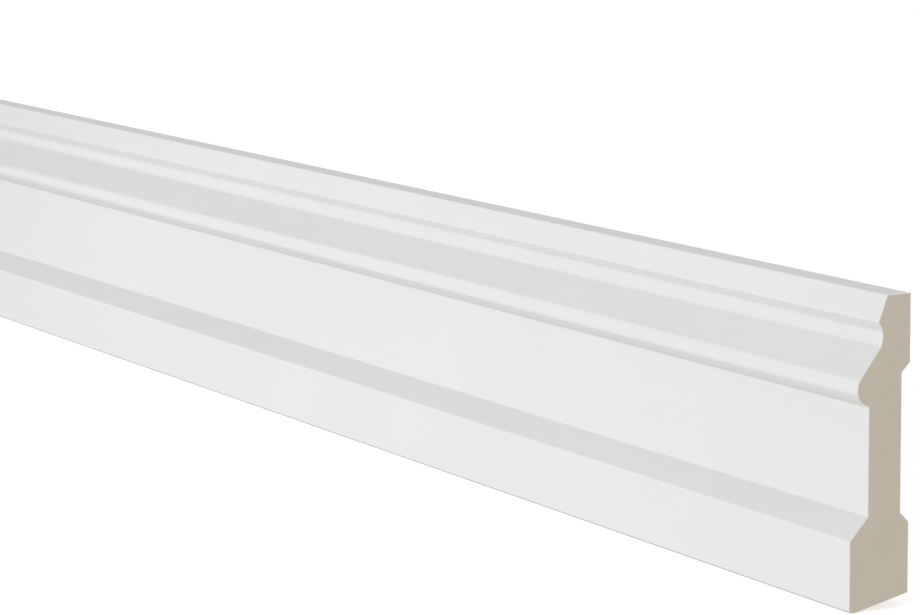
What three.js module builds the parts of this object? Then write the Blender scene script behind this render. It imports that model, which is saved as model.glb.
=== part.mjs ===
// A length of skirting board, moulded in one piece from fibreboard.
// Millimetres, +Z up. The board runs along X, its moulded face looks towards -Y and its back lies
// on the wall plane, Y = 0. The origin is on the wall plane, halfway up the lower back pad and
// halfway along the board.
import * as THREE from 'three';

const radians = THREE.MathUtils.degToRad;

// Overall sizes
const BOARD_LENGTH = 800;
const BOARD_HEIGHT = 100;
const BOARD_THICKNESS = 22;

// Plinth at the foot of the face, and the flat plate that is set back above it
const PLINTH_HEIGHT = 23;
const PLINTH_CHAMFER_RISE = 7.2;
const PLATE_RECESS = 6.7;

// Bead at the head of the plate
const BEAD_RADIUS = 5.6;
const BEAD_PROJECTION = 4.3;
const BEAD_FILLET_RADIUS = 0.6;
const BEAD_SHOULDER_ANGLE = radians(45);

// Slope from the bead up to the cove, and the sloping fascia between the cove and the top
const SLOPE_LENGTH = 9.8;
const SLOPE_ANGLE = radians(38);
const COVE_RADIUS = 7.4;
const FASCIA_HEIGHT = 8.7;
const FASCIA_LEAN = radians(20.4);

// Back of the board: two pads that touch the wall, with a shallow relief between them
const LOWER_PAD_TOP = 27.3;
const UPPER_PAD_HEIGHT = 21.9;
const RELIEF_DEPTH = 3.1;
const RELIEF_SHOULDER_ANGLE = radians(45);

// Underside: a narrow flat foot at the front, then a bevel that rises to the back
const FOOT_WIDTH = 2.4;
const UNDERSIDE_RISE = 4.5;

const ARC_SEGMENTS = 24;

// The moulding at the top keeps its shape and is set out downwards from the top of the board.
// Depths are measured from the wall plane and are negative towards the room.
const plinthFace = -BOARD_THICKNESS;
const plateFace = plinthFace + PLATE_RECESS;
const noseHeight = BOARD_HEIGHT - FASCIA_HEIGHT;
const coveHalfHeight = COVE_RADIUS * Math.sin(SLOPE_ANGLE);
const slopeTopHeight = noseHeight - 2 * coveHalfHeight;
const shoulderHeight = slopeTopHeight - SLOPE_LENGTH * Math.cos(SLOPE_ANGLE);

const bead = {
  depth: plateFace - BEAD_PROJECTION + BEAD_RADIUS,
  height: shoulderHeight - BEAD_RADIUS * Math.sin(BEAD_SHOULDER_ANGLE),
};
const slopeTopDepth = bead.depth - BEAD_RADIUS * Math.cos(BEAD_SHOULDER_ANGLE)
  + SLOPE_LENGTH * Math.sin(SLOPE_ANGLE);

// The cove is tangent to the slope and turns by the same angle above and below its middle,
// so the nose over it stands plumb with the top of the slope.
const cove = {
  depth: slopeTopDepth - COVE_RADIUS * Math.cos(SLOPE_ANGLE),
  height: slopeTopHeight + coveHalfHeight,
};

// The fillet under the bead touches both the bead and the plate.
const filletDepth = plateFace - BEAD_FILLET_RADIUS;
const filletReach = BEAD_RADIUS + BEAD_FILLET_RADIUS;
const filletAngle = Math.acos((bead.depth - filletDepth) / filletReach);
const fillet = {
  depth: filletDepth,
  height: bead.height - filletReach * Math.sin(filletAngle),
};

function addFoot(section) {
  section.moveTo(plinthFace, 0);
  section.lineTo(plinthFace + FOOT_WIDTH, 0);
  section.lineTo(0, UNDERSIDE_RISE);
}

function addBack(section) {
  const reliefShoulder = RELIEF_DEPTH * Math.tan(RELIEF_SHOULDER_ANGLE);
  const upperPadBottom = BOARD_HEIGHT - UPPER_PAD_HEIGHT;
  section.lineTo(0, LOWER_PAD_TOP);
  section.lineTo(-RELIEF_DEPTH, LOWER_PAD_TOP + reliefShoulder);
  section.lineTo(-RELIEF_DEPTH, upperPadBottom - reliefShoulder);
  section.lineTo(0, upperPadBottom);
  section.lineTo(0, BOARD_HEIGHT);
}

function addTopMoulding(section) {
  section.lineTo(slopeTopDepth + FASCIA_HEIGHT * Math.tan(FASCIA_LEAN), BOARD_HEIGHT);
  section.lineTo(slopeTopDepth, noseHeight);
  section.absarc(cove.depth, cove.height, COVE_RADIUS, SLOPE_ANGLE, -SLOPE_ANGLE, true);
  section.absarc(
    bead.depth, bead.height, BEAD_RADIUS, Math.PI - BEAD_SHOULDER_ANGLE, Math.PI + filletAngle, false,
  );
  section.absarc(fillet.depth, fillet.height, BEAD_FILLET_RADIUS, filletAngle, 0, true);
}

function addPlateAndPlinth(section) {
  section.lineTo(plateFace, PLINTH_HEIGHT + PLINTH_CHAMFER_RISE);
  section.lineTo(plinthFace, PLINTH_HEIGHT);
  section.closePath();
}

// The cross-section, anticlockwise from the plinth's front edge: X is depth and Y is height.
function boardSection() {
  const section = new THREE.Shape();
  addFoot(section);
  addBack(section);
  addTopMoulding(section);
  addPlateAndPlinth(section);
  return section;
}

// The section is drawn flat and extruded, then turned so that the extrusion runs along X.
function boardGeometry() {
  const geometry = new THREE.ExtrudeGeometry(boardSection(), {
    depth: BOARD_LENGTH,
    bevelEnabled: false,
    curveSegments: ARC_SEGMENTS,
  });
  geometry.translate(0, 0, -BOARD_LENGTH / 2);
  geometry.rotateX(Math.PI / 2);
  geometry.rotateZ(Math.PI / 2);
  return geometry;
}

const whiteCoating = new THREE.MeshStandardMaterial({
  name: 'white_coating',
  color: 0xeaeaea,
  roughness: 0.5,
  metalness: 0,
});

const board = new THREE.Mesh(boardGeometry(), whiteCoating);
board.name = 'skirting_board';
board.position.z = -(UNDERSIDE_RISE + LOWER_PAD_TOP) / 2;

const group = new THREE.Group();
group.add(board);

export default group;
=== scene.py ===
"""Dresses a length of moulded skirting board: eased edges, white coating, raw fibreboard and its stage.

Metres, +Z up. The board runs along X, its moulded face looks towards -Y and its back lies on Y = 0.
"""

from math import acos, cos, pi, radians, sin, tan

import bmesh
import bpy
from bpy.props import FloatProperty, FloatVectorProperty, IntProperty, PointerProperty
from mathutils import Matrix, Vector


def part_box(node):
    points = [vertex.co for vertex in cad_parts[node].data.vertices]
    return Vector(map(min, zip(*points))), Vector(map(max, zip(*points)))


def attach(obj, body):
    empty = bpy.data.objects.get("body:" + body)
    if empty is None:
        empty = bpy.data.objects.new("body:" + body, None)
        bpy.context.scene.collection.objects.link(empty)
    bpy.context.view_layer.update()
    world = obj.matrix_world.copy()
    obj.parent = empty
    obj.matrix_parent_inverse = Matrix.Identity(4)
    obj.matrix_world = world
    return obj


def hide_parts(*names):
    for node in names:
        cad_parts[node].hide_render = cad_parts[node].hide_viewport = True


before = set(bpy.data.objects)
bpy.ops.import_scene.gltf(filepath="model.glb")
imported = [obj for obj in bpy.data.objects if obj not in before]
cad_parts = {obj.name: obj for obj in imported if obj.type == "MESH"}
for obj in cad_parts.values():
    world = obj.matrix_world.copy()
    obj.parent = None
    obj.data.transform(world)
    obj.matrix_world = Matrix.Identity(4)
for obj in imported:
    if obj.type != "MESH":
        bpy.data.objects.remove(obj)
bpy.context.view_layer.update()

bl_info = {
    "name": "Skirting Board",
    "version": (1, 0, 0),
    "blender": (4, 5, 0),
    "location": "View3D > Sidebar > Skirting",
    "description": "Models a coated fibreboard skirting board and lights it",
    "category": "Add Mesh",
}

BOARD_NODE = "skirting_board"
BODY = "root"
BOARD_LOW, BOARD_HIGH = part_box(BOARD_NODE)
FLOOR_HEIGHT = BOARD_LOW.z
COATED, SAWN, MILLED = range(3)  # the board's material slots
WHITE = (1.0, 1.0, 1.0)

MATCH = 1e-5  # two places on the section closer than this are the same corner
SMOOTH_BELOW = radians(24)  # edges that turn less than this belong to one curve
ROOM_FACING = -0.25  # a face whose normal has a Y below this takes the coating
LEVEL = 0.98  # a face whose normal has a Z above this is level and looks up
END_FACING = 0.9  # a face whose normal has an X beyond this, either way, lies on a cut end

# Features for each metre along the board, across it and upwards
COATING_LINES = (6.0, 900.0, 900.0)
FIBRE_FLECKS = (1100.0, 1700.0, 1300.0)
FIBRE_THREADS = (500.0, 2600.0, 900.0)
# Features for each metre in any direction
COATING_CLOUDS = 14.0
COATING_PEEL = 1500.0
FIBRE_CLOUDS = 90.0
# Heights of the bumps, in metres
COATING_RELIEF = 0.000001
FIBRE_RELIEF = 0.00006
TOOL_RELIEF = 0.00003
# Spread of the roughness
COATING_SPREAD = 0.04
FIBRE_SPREAD = 0.1
# Shares of the clouds and the lines in the coating's tone
CLOUD_SHARE = 0.7
LINE_SHARE = 0.3
# How far each kind of mark changes the fibreboard's colour
THREAD_STRENGTH = 0.45
FLECK_STRENGTH = 0.5
CLOUD_STRENGTH = 0.12

PAINTED_SHADE_UP_TO = 0.8  # the painted shade of the floor's contact shadow is full up to this share of the foot's arris
BLADE_CENTRE = (0.0, -0.04, -0.12)  # where the saw's blade turned, below the board
SAW_RATE = 5200.0  # radians for each metre from the blade's centre
CUTTER_RATE = 4200.0  # radians for each metre along the board

SENSOR_WIDTH = 36.0  # millimetres
CLIP_START = 0.01
FLOOR_ROUGHNESS = 0.9
SOFT_LIGHTS = {  # width, height and place of each, in metres
    "front_light": (3.0, 1.2, (0.7, -3.4, 0.8)),
    "side_light": (4.6, 5.3, (-5.5, -4.3, -0.15)),
    "end_light": (1.2, 1.2, (3.4, 0.2, 0.6)),
}


def length(name, default, description):
    """A size that the sidebar shows in the scene's own unit of length."""
    return FloatProperty(
        name=name, description=description, default=default, min=0.0, precision=5,
        subtype="DISTANCE", unit="LENGTH",
    )


def angle(name, default, description):
    """An angle that the sidebar shows in degrees."""
    return FloatProperty(
        name=name, description=description, default=radians(default), subtype="ANGLE", unit="ROTATION",
    )


def colour(name, default, description):
    """A linear colour."""
    return FloatVectorProperty(
        name=name, description=description, default=default, size=3, min=0.0, max=1.0, subtype="COLOR",
    )


def amount(name, default, description, highest=1.0):
    """A plain number from zero upwards."""
    return FloatProperty(name=name, description=description, default=default, min=0.0, max=highest)


def watts(name, default, description):
    """The power of a lamp."""
    return FloatProperty(
        name=name, description=description, default=default, min=0.0, subtype="POWER", unit="POWER",
    )


class SectionSizes(bpy.types.PropertyGroup):
    """Sizes of the board's section. The overall sizes come from the frame."""

    plinth_height: length("Plinth height", 0.023, "Upright face at the foot of the board")
    chamfer_rise: length("Chamfer rise", 0.0072, "Height of the chamfer on top of the plinth")
    plate_recess: length("Plate recess", 0.0067, "How far the plate is set back from the plinth")
    bead_radius: length("Bead radius", 0.005, "Radius of the lower half of the bead over the plate")
    bead_crown: length("Bead crown", 0.0076, "Radius of the upper half of the bead")
    bead_projection: length("Bead projection", 0.00433, "How far the bead stands out from the plate")
    bead_fillet: length("Bead fillet", 0.0006, "Radius between the bead and the plate")
    shoulder_angle: angle("Bead shoulder", 31, "Angle above level at which the bead runs into the slope")
    slope_length: length("Slope length", 0.01157, "Straight slope between the bead and the cove")
    slope_angle: angle("Slope angle", 38, "Angle of the slope from plumb")
    cove_radius: length("Cove radius", 0.0074, "Radius of the lower half of the cove")
    cove_foot: angle("Cove foot", 31, "Angle that the lower half of the cove turns")
    cove_head_radius: length("Cove head radius", 0.0065, "Radius of the upper half of the cove")
    cove_head: angle("Cove head", 42, "Angle that the cove turns under the fascia")
    fascia_height: length("Fascia height", 0.0087, "Height of the leaning face at the top")
    fascia_lean: angle("Fascia lean", 21, "Angle of the fascia from plumb")
    lower_pad_top: length("Lower pad top", 0.0273, "Height of the lower back pad's upper edge")
    upper_pad_height: length("Upper pad height", 0.0219, "Height of the upper back pad")
    relief_depth: length("Relief depth", 0.0031, "Depth of the relief between the back pads")
    relief_shoulder: angle("Relief shoulder", 45, "Angle of the relief's shoulders from level")
    foot_width: length("Foot width", 0.0024, "Flat strip that meets the floor")
    underside_rise: length("Underside rise", 0.0045, "How far the underside rises to the back")


class SurfaceSizes(bpy.types.PropertyGroup):
    """Sizes of the coating and of the eased edges."""

    coated_edge: length("Coated edge", 0.00035, "Radius on the outer corners of the coated face")
    coated_corner: length("Coated corner", 0.0003, "Coating gathered in the corners of slope and plate")
    foot_arris: length("Foot arris", 0.0006, "Small flat cut along the front edge of the foot")
    bare_edge: length("Bare edge", 0.0003, "Bare strip where the coating stops at the back of the top")
    back_edge: length("Back edge", 0.0003, "Radius on the corners of the back")
    coating_thickness: length("Coating thickness", 0.00022, "White line round the board seen at a cut end")
    curve_steps: IntProperty(
        name="Curve steps", description="Steps round the bead's lower half. Other curves take fewer",
        default=24, min=4,
    )
    edge_steps: IntProperty(name="Edge steps", description="Steps round each eased edge", default=4, min=1)


class FinishSettings(bpy.types.PropertyGroup):
    """Colours of the coating and of the bare board."""

    coating: colour("Coating", (0.778, 0.775, 0.772), "White primer coat")
    coating_shade: colour("Coating shade", (0.758, 0.756, 0.754), "Slightly thinner primer")
    # painted shade for the foot's arris, standing in for the floor's contact shadow under the foot
    foot_painted_shade: colour("Thin coating", (0.57, 0.555, 0.53), "Primer that the board shows through")
    coating_roughness: amount("Coating roughness", 0.19, "Satin sheen of the primer")
    fibre: colour("Fibreboard", (0.55, 0.488, 0.402), "Bare board")
    fibre_light: colour("Light fibres", (0.66, 0.60, 0.51), "Pale flecks in the bare board")
    fibre_dark: colour("Dark fibres", (0.40, 0.34, 0.26), "Dark flecks in the bare board")
    fibre_roughness: amount("Fibreboard roughness", 0.88, "Dull sheen of the bare board")


class StageSettings(bpy.types.PropertyGroup):
    """Camera, floor and lights."""

    lens: FloatProperty(
        name="Lens", description="Focal length on a 36 mm sensor", default=148.7, min=1.0,
        subtype="DISTANCE_CAMERA",
    )
    camera_place: FloatVectorProperty(
        name="Camera place", description="Where the camera stands", default=(1.3698, -0.6754, 0.2523),
        subtype="TRANSLATION", unit="LENGTH",
    )
    camera_heading: angle("Camera heading", 61.98, "Turn to the left of looking square at the wall")
    camera_pitch: angle("Camera pitch", 8.343, "Tilt downwards")
    camera_roll: angle("Camera roll", -0.33, "Turn of the camera about its own line of sight")
    floor_colour: colour("Floor", (0.86, 0.86, 0.86), "Plain pale floor")
    floor_size: length("Floor size", 12.0, "Width of the floor")
    floor_glow: amount("Floor glow", 0.38, "Light that the floor gives off by itself")
    room_light: amount("Room light", 0.58, "Even light from all round", highest=10.0)
    back_light: amount("Back light", 1.15, "Strength of the even light from behind the board", highest=10.0)
    back_pitch: angle("Back pitch", 20.0, "How high the light from behind stands")
    front_light: watts("Front light", 47.5, "Power of the soft light before the board")
    side_light: watts("Side light", 70.0, "Power of the low light beyond the far end")
    end_light: watts("End light", 26.0, "Power of the light that faces the near end")


class Signal:
    """An output socket of a finish, on which plain arithmetic adds Math nodes."""

    def __init__(self, finish, socket):
        self.finish = finish
        self.socket = socket

    def _math(self, operation, first, second):
        return self.finish.add("ShaderNodeMath", {"operation": operation}, {0: first, 1: second})

    def __add__(self, other):
        return self._math("ADD", self, other)

    def __radd__(self, other):
        return self._math("ADD", other, self)

    def __sub__(self, other):
        return self._math("SUBTRACT", self, other)

    def __rsub__(self, other):
        return self._math("SUBTRACT", other, self)

    def __mul__(self, other):
        return self._math("MULTIPLY", self, other)

    def __rmul__(self, other):
        return self._math("MULTIPLY", other, self)


class Wiring:
    """Nodes and links of one material or of the world."""

    def __init__(self, owner, shader):
        owner.use_nodes = True
        self.tree = owner.node_tree
        self.shader = self.tree.nodes[shader]

    def add(self, kind, settings=None, values=None, output=0):
        """Adds a node, with its settings first and then its sockets, and gives back one output."""
        node = self.tree.nodes.new(kind)
        for name, value in (settings or {}).items():
            setattr(node, name, value)
        for name, value in (values or {}).items():
            self._feed(node.inputs[name], value)
        return Signal(self, node.outputs[output])

    def set(self, **values):
        """Feeds the shader's own sockets, named with underscores for spaces."""
        for name, value in values.items():
            self._feed(self.shader.inputs[name.replace("_", " ")], value)

    def _feed(self, socket, value):
        if isinstance(value, Signal):
            self.tree.links.new(value.socket, socket)
        elif socket.type == "RGBA":
            socket.default_value = (*value, 1.0)
        else:
            socket.default_value = value

    def between(self, value, zero_at, one_at):
        """0 at one value and 1 at the other, straight between them and level beyond them."""
        values = {"Value": value, "From Min": zero_at, "From Max": one_at}
        return self.add("ShaderNodeMapRange", {"clamp": True}, values)

    def ripple(self, value, rate):
        """A sine wave from 0 to 1, with its rate in radians for each metre."""
        return self.add("ShaderNodeMath", {"operation": "SINE"}, {0: value * rate}) * 0.5 + 0.5


class Finish(Wiring):
    """A node material with one Principled shader."""

    def __init__(self, name):
        self.material = bpy.data.materials.new(name)
        super().__init__(self.material, "Principled BSDF")

    def place(self):
        """The board's own coordinates, in metres."""
        return self.add("ShaderNodeTexCoord", output="Object")

    def along(self, vector, axis):
        """One coordinate of a place."""
        return self.add("ShaderNodeSeparateXYZ", values={"Vector": vector}, output=axis)

    def stretched(self, vector, scale):
        """The coordinates with each direction scaled by itself."""
        return self.add("ShaderNodeMapping", {"vector_type": "POINT"}, {"Vector": vector, "Scale": scale})

    def noise(self, vector, scale=1.0, detail=2.0, roughness=0.5):
        """Soft noise from 0 to 1, with scale in features for each metre."""
        values = {"Vector": vector, "Scale": scale, "Detail": detail, "Roughness": roughness}
        return self.add("ShaderNodeTexNoise", values=values)

    def blend(self, mask, first, second):
        """The first colour where the mask is 0 and the second where it is 1."""
        settings = {"data_type": "RGBA", "blend_type": "MIX"}
        return self.add("ShaderNodeMix", settings, {0: mask, 6: first, 7: second}, output=2)

    def bump(self, height, distance, under=None):
        """A normal raised by a height from 0 to 1, over another bump where one is given."""
        values = {"Height": height, "Distance": distance, "Strength": 1.0}
        if under is not None:
            values["Normal"] = under
        return self.add("ShaderNodeBump", values=values, output="Normal")


def white_coating(settings, arris):
    """Sprayed white primer: a satin film with faint orange peel and lines along the board.

    Over the arris along the foot, whose height is given, the film is darkened with painted shade where the
    floor's contact shadow would fall.
    """
    finish = Finish("white_coating")
    place = finish.place()
    cloud = finish.noise(place, COATING_CLOUDS, detail=3.0)
    peel = finish.noise(place, COATING_PEEL)
    lines = finish.noise(finish.stretched(place, COATING_LINES), detail=1.0)
    tone = finish.between(cloud * CLOUD_SHARE + lines * LINE_SHARE, zero_at=0.35, one_at=0.65)
    film = finish.blend(tone, tuple(settings.coating_shade), tuple(settings.coating))
    # painted shade: the foot's arris is darkened towards the floor, where the contact shadow would fall
    foot_shade_mask = finish.between(
        finish.along(place, "Z"), zero_at=FLOOR_HEIGHT + arris, one_at=FLOOR_HEIGHT + arris * PAINTED_SHADE_UP_TO,
    )
    finish.set(
        Base_Color=finish.blend(foot_shade_mask, film, tuple(settings.foot_painted_shade)),
        Roughness=settings.coating_roughness + (peel - 0.5) * COATING_SPREAD,
        Normal=finish.bump(peel, COATING_RELIEF, under=finish.bump(lines, COATING_RELIEF)),
    )
    return finish.material


def bare_fibreboard(settings, name, marks):
    """Bare fibreboard: pale threads and dark flecks in a tan body.

    marks is the function that gives the tool marks as a height from 0 to 1.
    """
    finish = Finish(name)
    place = finish.place()
    fleck = finish.noise(finish.stretched(place, FIBRE_FLECKS), detail=3.0, roughness=0.6)
    thread = finish.noise(finish.stretched(place, FIBRE_THREADS))
    cloud = finish.noise(place, FIBRE_CLOUDS, detail=3.0)
    threads = finish.between(thread, zero_at=0.52, one_at=0.72) * THREAD_STRENGTH
    flecks = finish.between(fleck, zero_at=0.6, one_at=0.78) * FLECK_STRENGTH
    clouds = finish.between(cloud, zero_at=0.45, one_at=0.8) * CLOUD_STRENGTH
    body = finish.blend(threads, tuple(settings.fibre), tuple(settings.fibre_light))
    body = finish.blend(flecks, body, tuple(settings.fibre_dark))
    body = finish.blend(clouds, body, tuple(settings.fibre_dark))
    finish.set(
        Base_Color=body,
        Roughness=settings.fibre_roughness + (fleck - 0.5) * FIBRE_SPREAD,
        Normal=finish.bump(fleck, FIBRE_RELIEF, under=finish.bump(marks(finish, place), TOOL_RELIEF)),
    )
    return finish.material


def saw_marks(finish, place):
    """Fine arcs that a circular saw leaves across a cut end."""
    from_blade = finish.add("ShaderNodeVectorMath", {"operation": "SUBTRACT"}, {0: place, 1: BLADE_CENTRE})
    across = finish.stretched(from_blade, (0.0, 1.0, 1.0))
    radius = finish.add("ShaderNodeVectorMath", {"operation": "LENGTH"}, {0: across}, output="Value")
    return finish.ripple(radius, SAW_RATE)


def cutter_marks(finish, place):
    """Fine ripples that a rotary cutter leaves across the back, one for each pass of a knife."""
    return finish.ripple(finish.along(place, "X"), CUTTER_RATE)


class Outline:
    """A section drawn as a chain of edges across one end of the board."""

    def __init__(self, bm, end):
        self.bm = bm
        self.end = end
        self.first = None
        self.last = None

    def line_to(self, depth, height):
        """Runs straight to a depth, which is a Y, and a height above the floor. Gives back that place."""
        corner = self.bm.verts.new((self.end, depth, FLOOR_HEIGHT + height))
        if self.last is None:
            self.first = corner
        else:
            self.bm.edges.new((self.last, corner))
        self.last = corner
        return corner.co.copy()

    def turn(self, depth, height, turned, steps):
        """Runs round a centre, anticlockwise for a positive angle. Gives back the place where it stops."""
        centre = (self.end, depth, FLOOR_HEIGHT + height)
        spun = bmesh.ops.spin(
            self.bm, geom=[self.last], cent=centre, axis=(1.0, 0.0, 0.0), angle=turned, steps=steps,
        )
        self.last = next(part for part in spun["geom_last"] if isinstance(part, bmesh.types.BMVert))
        return self.last.co.copy()

    def close(self):
        """Joins the end of the chain to its start and fills it."""
        edges = [*self.bm.edges, self.bm.edges.new((self.last, self.first))]
        return bmesh.ops.contextual_create(self.bm, geom=edges)["faces"][0]


def draw_section(bm, sizes, steps):
    """Draws and fills the section at the right-hand end. Gives back the face and the corners to ease."""
    height = BOARD_HIGH.z - BOARD_LOW.z
    plinth_face = BOARD_LOW.y
    plate_face = plinth_face + sizes.plate_recess
    nose_height = height - sizes.fascia_height
    cove_height = nose_height - sizes.cove_head_radius * sin(sizes.cove_head)
    slope_top_height = cove_height - sizes.cove_radius * sin(sizes.cove_foot)
    shoulder_height = slope_top_height - sizes.slope_length * cos(sizes.slope_angle)
    bead_height = shoulder_height - sizes.bead_crown * sin(sizes.shoulder_angle)
    bead_face = plate_face - sizes.bead_projection
    shoulder_depth = bead_face + sizes.bead_crown * (1 - cos(sizes.shoulder_angle))
    slope_top_depth = shoulder_depth + sizes.slope_length * sin(sizes.slope_angle)
    cove_back = slope_top_depth + sizes.cove_radius * (1 - cos(sizes.cove_foot))
    nose_depth = cove_back - sizes.cove_head_radius * (1 - cos(sizes.cove_head))
    bead_depth = bead_face + sizes.bead_radius
    fillet_depth = plate_face - sizes.bead_fillet
    fillet_reach = sizes.bead_radius + sizes.bead_fillet
    fillet_angle = acos((bead_depth - fillet_depth) / fillet_reach)
    fillet_height = bead_height - fillet_reach * sin(fillet_angle)
    fascia_top = nose_depth + sizes.fascia_height * tan(sizes.fascia_lean)
    relief_back = BOARD_HIGH.y - sizes.relief_depth
    relief_rise = sizes.relief_depth * tan(sizes.relief_shoulder)
    upper_pad_bottom = height - sizes.upper_pad_height
    half_steps = steps // 2
    fillet_steps = steps // 3

    outline = Outline(bm, BOARD_HIGH.x)
    corners = {"foot": [], "bare": [], "back": [], "coated": [], "filled": []}
    corners["foot"].append(outline.line_to(plinth_face, 0.0))
    corners["back"].append(outline.line_to(plinth_face + sizes.foot_width, 0.0))
    corners["back"].append(outline.line_to(BOARD_HIGH.y, sizes.underside_rise))
    corners["back"].append(outline.line_to(BOARD_HIGH.y, sizes.lower_pad_top))
    outline.line_to(relief_back, sizes.lower_pad_top + relief_rise)
    outline.line_to(relief_back, upper_pad_bottom - relief_rise)
    corners["back"].append(outline.line_to(BOARD_HIGH.y, upper_pad_bottom))
    corners["bare"].append(outline.line_to(BOARD_HIGH.y, height))
    corners["coated"].append(outline.line_to(fascia_top, height))
    corners["coated"].append(outline.line_to(nose_depth, nose_height))
    outline.turn(cove_back - sizes.cove_head_radius, cove_height, -sizes.cove_head, half_steps)
    slope_top = outline.turn(cove_back - sizes.cove_radius, cove_height, -sizes.cove_foot, half_steps)
    corners["filled"].append(slope_top)
    corners["filled"].append(outline.line_to(shoulder_depth, shoulder_height))
    outline.turn(bead_face + sizes.bead_crown, bead_height, sizes.shoulder_angle, half_steps)
    outline.turn(bead_depth, bead_height, fillet_angle, steps)
    outline.turn(fillet_depth, fillet_height, -fillet_angle, fillet_steps)
    corners["filled"].append(outline.line_to(plate_face, sizes.plinth_height + sizes.chamfer_rise))
    corners["coated"].append(outline.line_to(plinth_face, sizes.plinth_height))
    return outline.close(), corners


def long_edges(bm, corners):
    """The edges that run the length of the board from these corners of its section."""
    def runs_from(edge, corner):
        return all((vertex.co.yz - corner.yz).length < MATCH for vertex in edge.verts)

    return [edge for edge in bm.edges if any(runs_from(edge, corner) for corner in corners)]


def ease(bm, corners, radius, steps):
    """Rounds the long edges at these corners and gives back the new faces."""
    made = bmesh.ops.bevel(
        bm, geom=long_edges(bm, corners), offset=radius, offset_type="OFFSET", affect="EDGES",
        segments=steps, profile=0.5, material=-1,
    )
    return made["faces"]


def is_coated(face):
    """The moulded face and the level top take the coating, and the back and the underside don't."""
    return face.normal.y < ROOM_FACING or face.normal.z > LEVEL


def is_end(face):
    """Whether a face lies on one of the cut ends."""
    return abs(face.normal.x) > END_FACING


def model_board(sizes, surface):
    """The board as a mesh, with its coated, sawn and milled faces in their material slots."""
    bm = bmesh.new()
    end, corners = draw_section(bm, sizes, surface.curve_steps)
    made = bmesh.ops.extrude_face_region(bm, geom=[end])["geom"]
    far = [part for part in made if isinstance(part, bmesh.types.BMVert)]
    bmesh.ops.translate(bm, verts=far, vec=(BOARD_LOW.x - BOARD_HIGH.x, 0.0, 0.0))
    bmesh.ops.recalc_face_normals(bm, faces=bm.faces)

    ease(bm, corners["foot"], surface.foot_arris, steps=1)
    bare = ease(bm, corners["bare"], surface.bare_edge, surface.edge_steps)
    ease(bm, corners["back"], surface.back_edge, surface.edge_steps)
    ease(bm, corners["coated"], surface.coated_edge, surface.edge_steps)
    ease(bm, corners["filled"], surface.coated_corner, surface.edge_steps)

    bare = {face for face in bare if face.is_valid}
    ends = [face for face in bm.faces if is_end(face)]
    for face in bm.faces:
        face.smooth = True
        face.material_index = COATED if is_coated(face) and face not in bare else MILLED
    for face in ends:
        face.material_index = SAWN
    # The rim round each end shows the coating's thickness where it borders a coated face
    bmesh.ops.inset_region(bm, faces=ends, thickness=surface.coating_thickness, use_even_offset=True)
    for face in bm.faces:
        if is_end(face) and face not in ends:
            beside = [other for edge in face.edges for other in edge.link_faces if not is_end(other)]
            face.material_index = COATED if beside and beside[0].material_index == COATED else SAWN
    return bm


def own(name, bm, materials):
    """Turns a finished bmesh into an object at the origin."""
    mesh = bpy.data.meshes.new(name)
    bm.to_mesh(mesh)
    bm.free()
    for material in materials:
        mesh.materials.append(material)
    mesh.set_sharp_from_angle(angle=SMOOTH_BELOW)
    made = bpy.data.objects.new(name, mesh)
    bpy.context.scene.collection.objects.link(made)
    return made


class SKIRTING_OT_board(bpy.types.Operator):
    """Model the coated board with its bare ends and back"""

    bl_idname = "skirting.board"
    bl_label = "Board"

    def execute(self, context):
        scene = context.scene
        surface = scene.skirting_surface
        finishes = scene.skirting_finish
        bm = model_board(scene.skirting_section, surface)
        board = own("moulded_board", bm, (
            white_coating(finishes, surface.foot_arris),
            bare_fibreboard(finishes, "sawn_fibreboard", saw_marks),
            bare_fibreboard(finishes, "milled_fibreboard", cutter_marks),
        ))
        weighted = board.modifiers.new("Even shading", "WEIGHTED_NORMAL")
        weighted.keep_sharp = True
        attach(board, BODY)
        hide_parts(BOARD_NODE)
        return {"FINISHED"}


def add_floor(stage):
    """A plain pale floor under the board's foot."""
    bm = bmesh.new()
    bmesh.ops.create_grid(bm, x_segments=1, y_segments=1, size=stage.floor_size / 2)
    bmesh.ops.translate(bm, verts=bm.verts, vec=(0.0, 0.0, FLOOR_HEIGHT))
    finish = Finish("pale_floor")
    finish.set(
        Base_Color=tuple(stage.floor_colour), Roughness=FLOOR_ROUGHNESS,
        Emission_Color=WHITE, Emission_Strength=stage.floor_glow,
    )
    floor = own("floor", bm, [finish.material])
    floor.visible_diffuse = False
    floor.visible_glossy = False
    floor.visible_shadow = False


def add_soft_light(name, power, width, height, place, aim):
    """An upright soft light that looks at one place."""
    lamp = bpy.data.lights.new(name, "AREA")
    lamp.energy = power
    lamp.shape = "RECTANGLE"
    lamp.size = width
    lamp.size_y = height
    holder = bpy.data.objects.new(name, lamp)
    direction = aim - Vector(place)
    turned = direction.to_track_quat("-Z", "Y").to_matrix().to_4x4()
    holder.matrix_world = Matrix.Translation(place) @ turned
    bpy.context.scene.collection.objects.link(holder)


def add_back_light(stage):
    """Even light from behind, too low to reach the faces that slope towards the room.

    It leaves no gloss, which would lose the top of the board against the floor when seen from the front.
    """
    lamp = bpy.data.lights.new("back_light", "SUN")
    lamp.energy = stage.back_light
    lamp.use_shadow = False
    holder = bpy.data.objects.new("back_light", lamp)
    holder.matrix_world = Matrix.Rotation(stage.back_pitch - pi / 2, 4, "X")
    holder.visible_glossy = False
    bpy.context.scene.collection.objects.link(holder)


def add_room_light(stage):
    """Even light from all round."""
    world = bpy.data.worlds.new("soft_studio")
    Wiring(world, "Background").set(Color=WHITE, Strength=stage.room_light)
    bpy.context.scene.world = world


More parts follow.
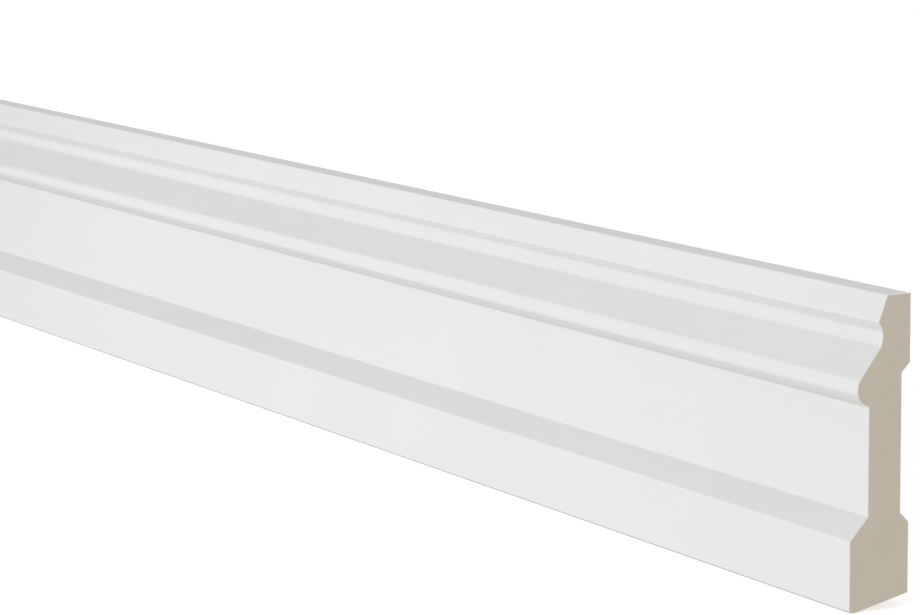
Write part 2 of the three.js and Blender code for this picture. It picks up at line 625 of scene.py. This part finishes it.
def add_camera(stage):
    """The camera at the photograph's viewing angle."""
    data = bpy.data.cameras.new("camera")
    data.sensor_width = SENSOR_WIDTH
    data.lens = stage.lens
    data.clip_start = CLIP_START
    camera = bpy.data.objects.new("camera", data)
    heading = Matrix.Rotation(stage.camera_heading, 4, "Z")
    pitch = Matrix.Rotation(pi / 2 - stage.camera_pitch, 4, "X")
    roll = Matrix.Rotation(stage.camera_roll, 4, "Z")
    camera.matrix_world = Matrix.Translation(stage.camera_place) @ heading @ pitch @ roll
    bpy.context.scene.collection.objects.link(camera)
    bpy.context.scene.camera = camera


class SKIRTING_OT_stage(bpy.types.Operator):
    """Set up the camera, the floor and the soft studio light"""

    bl_idname = "skirting.stage"
    bl_label = "Stage"

    def execute(self, context):
        stage = context.scene.skirting_stage
        middle = (BOARD_LOW + BOARD_HIGH) / 2
        add_camera(stage)
        add_floor(stage)
        add_room_light(stage)
        for name, (width, height, place) in SOFT_LIGHTS.items():
            add_soft_light(name, getattr(stage, name), width, height, place, middle)
        add_back_light(stage)
        context.scene.view_settings.view_transform = "Standard"
        context.scene.view_settings.look = "None"
        return {"FINISHED"}


class SKIRTING_PT_sidebar(bpy.types.Panel):
    """Sizes, finishes and steps of the skirting board"""

    bl_label = "Skirting board"
    bl_idname = "SKIRTING_PT_sidebar"
    bl_space_type = "VIEW_3D"
    bl_region_type = "UI"
    bl_category = "Skirting"

    def draw(self, context):
        for operator in OPERATORS:
            self.layout.operator(operator.bl_idname)
        for name in SETTINGS:
            settings = getattr(context.scene, name)
            box = self.layout.box()
            for item in settings.__annotations__:
                box.prop(settings, item)


SETTINGS = {
    "skirting_section": SectionSizes,
    "skirting_surface": SurfaceSizes,
    "skirting_finish": FinishSettings,
    "skirting_stage": StageSettings,
}
OPERATORS = (SKIRTING_OT_stage, SKIRTING_OT_board)


def register():
    for name, settings in SETTINGS.items():
        bpy.utils.register_class(settings)
        setattr(bpy.types.Scene, name, PointerProperty(type=settings))
    for made in (*OPERATORS, SKIRTING_PT_sidebar):
        bpy.utils.register_class(made)


def unregister():
    for made in (SKIRTING_PT_sidebar, *OPERATORS):
        bpy.utils.unregister_class(made)
    for name, settings in SETTINGS.items():
        delattr(bpy.types.Scene, name)
        bpy.utils.unregister_class(settings)


def main():
    register()
    bpy.ops.skirting.stage()
    bpy.ops.skirting.board()


if __name__ == "__main__":
    main()
